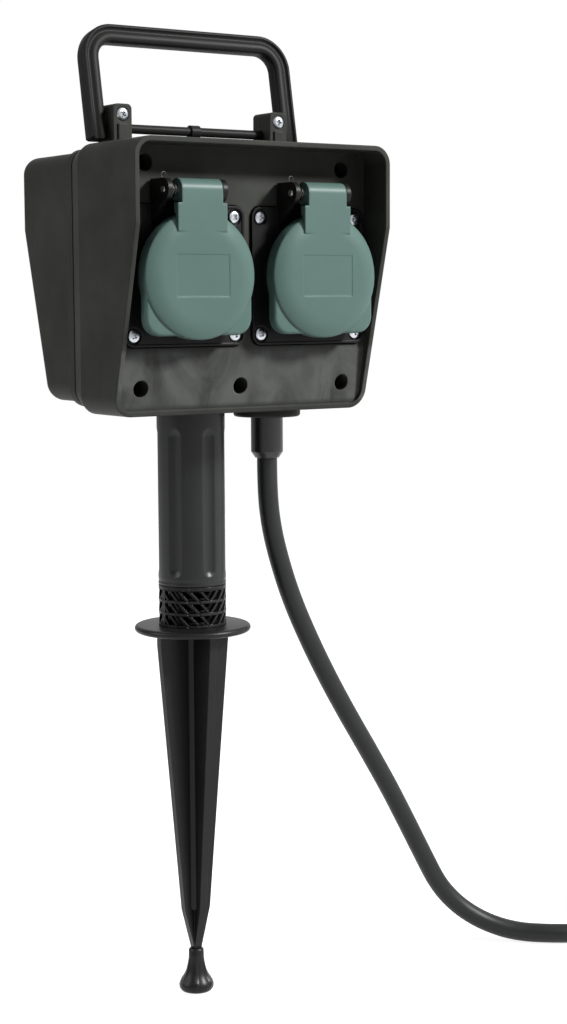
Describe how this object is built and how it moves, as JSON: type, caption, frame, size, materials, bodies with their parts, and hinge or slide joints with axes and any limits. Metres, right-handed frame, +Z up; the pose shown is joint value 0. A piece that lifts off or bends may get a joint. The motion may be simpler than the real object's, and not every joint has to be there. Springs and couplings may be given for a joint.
{
  "type": "garden socket post",
  "caption": "Mains socket box under a rain hood, with hinged lids and a folding handle, on a post with a ground spike, and a rubber cable that ends in a plug.",
  "frame": {"origin": "centre of the ground flange's underside, on the axis of the post and spike", "axes": "+Z up along the post, sockets face -Y, +X to the right seen from the front"},
  "size_m": [0.4352, 0.1361, 0.4139],
  "materials": {
    "shell_plastic": "satin, fine moulded grain",
    "handle_plastic": "satin",
    "post_plastic": "satin",
    "spike_plastic": "satin",
    "socket_plastic": "semi-gloss",
    "lid_plastic": "satin, sea green",
    "seal_rubber": "matt",
    "cable_rubber": "matt",
    "plug_rubber": "matt",
    "zinc_steel": "bright zinc",
    "bright_steel": "drawn wire",
    "plated_brass": "nickel plated",
    "brown_insulation": "smooth",
    "blue_insulation": "smooth",
    "green_insulation": "smooth"
  },
  "bodies": {
    "post": {"front_shell": "shell_plastic", "rear_shell": "shell_plastic", "shell_gasket": "seal_rubber", "shell_screws": "zinc_steel", "lug_screws": "zinc_steel", "post_tube": "post_plastic", "spike": "spike_plastic", "tip_guard": "spike_plastic", "cable_gland": "shell_plastic", "strain_relief": "cable_rubber", "sheath_end": "cable_rubber", "cord_clamp": "socket_plastic", "clamp_screws": "zinc_steel", "wire_live": "brown_insulation", "wire_neutral": "blue_insulation", "wire_earth": "green_insulation", "cable_lead": "cable_rubber", "cable_coil": "cable_rubber", "cable_tail": "cable_rubber", "plug_body": "plug_rubber", "plug_pins": "plated_brass", "plug_earth_strips": "plated_brass", "socket_body_left": "socket_plastic", "socket_insert_left": "socket_plastic", "plug_contacts_left": "plated_brass", "earth_bow_left": "plated_brass", "flange_gasket_left": "seal_rubber", "socket_screws_left": "zinc_steel", "hinge_pin_left": "bright_steel", "lid_spring_left": "bright_steel", "socket_body_right": "socket_plastic", "socket_insert_right": "socket_plastic", "plug_contacts_right": "plated_brass", "earth_bow_right": "plated_brass", "flange_gasket_right": "seal_rubber", "socket_screws_right": "zinc_steel", "hinge_pin_right": "bright_steel", "lid_spring_right": "bright_steel"},
    "lid_left": {"lid_left": "lid_plastic", "lid_seal_left": "seal_rubber"},
    "lid_right": {"lid_right": "lid_plastic", "lid_seal_right": "seal_rubber"},
    "handle": {"handle": "handle_plastic"}
  },
  "joints": [
    {"name": "lid_left_hinge", "type": "hinge", "parent": "post", "child": "lid_left", "pos_m": [-0.0296, -0.0556, 0.1842], "axis": [-1, 0, 0], "range_deg": [0, 100], "stiffness_Nm_per_rad": 0.004, "springref_deg": -60.16},
    {"name": "lid_right_hinge", "type": "hinge", "parent": "post", "child": "lid_right", "pos_m": [0.0296, -0.0556, 0.1842], "axis": [-1, 0, 0], "range_deg": [0, 100], "stiffness_Nm_per_rad": 0.004, "springref_deg": -60.16},
    {"name": "handle_fold", "type": "hinge", "parent": "post", "child": "handle", "pos_m": [0, -0.005, 0.2113], "axis": [-1, 0, 0], "range_deg": [-103, 85]}
  ]
}
